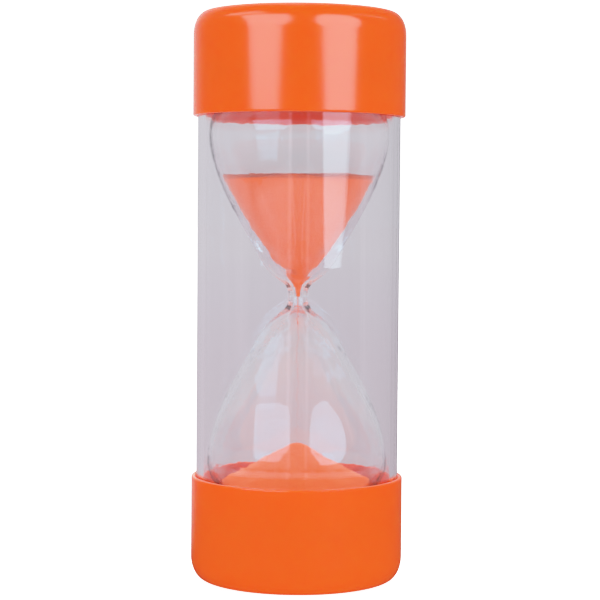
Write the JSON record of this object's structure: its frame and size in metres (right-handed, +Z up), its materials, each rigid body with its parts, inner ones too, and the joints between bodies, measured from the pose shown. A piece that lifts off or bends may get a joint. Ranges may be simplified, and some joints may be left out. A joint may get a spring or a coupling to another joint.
{
  "type": "sand timer",
  "caption": "Sand timer with moulded end caps, a clear guard tube and a glass double bulb of coloured sand, caught while the sand runs.",
  "frame": {"origin": "centre of the lower end face, on the timer's axis", "axes": "+Z up along the axis of the tube and bulbs, -Y towards the viewer, +X to the viewer's right"},
  "size_m": [0.06, 0.06, 0.16],
  "materials": {
    "cap_plastic": "gloss",
    "clear_plastic": "gloss",
    "glue": "satin",
    "foam": "matte",
    "bulb_glass": "polished",
    "stopper_rubber": "matte",
    "sealant": "satin",
    "sand": "matte"
  },
  "bodies": {
    "root": {"bottom_cap": "cap_plastic", "top_cap": "cap_plastic", "clear_tube": "clear_plastic", "lower_tube_glue": "glue", "upper_tube_glue": "glue", "lower_foam_pad": "foam", "upper_foam_pad": "foam", "glass_bulbs": "bulb_glass", "filling_stopper": "stopper_rubber", "stopper_sealant": "sealant", "upper_sand": "sand", "lower_sand": "sand", "falling_sand": "sand"}
  },
  "joints": []
}
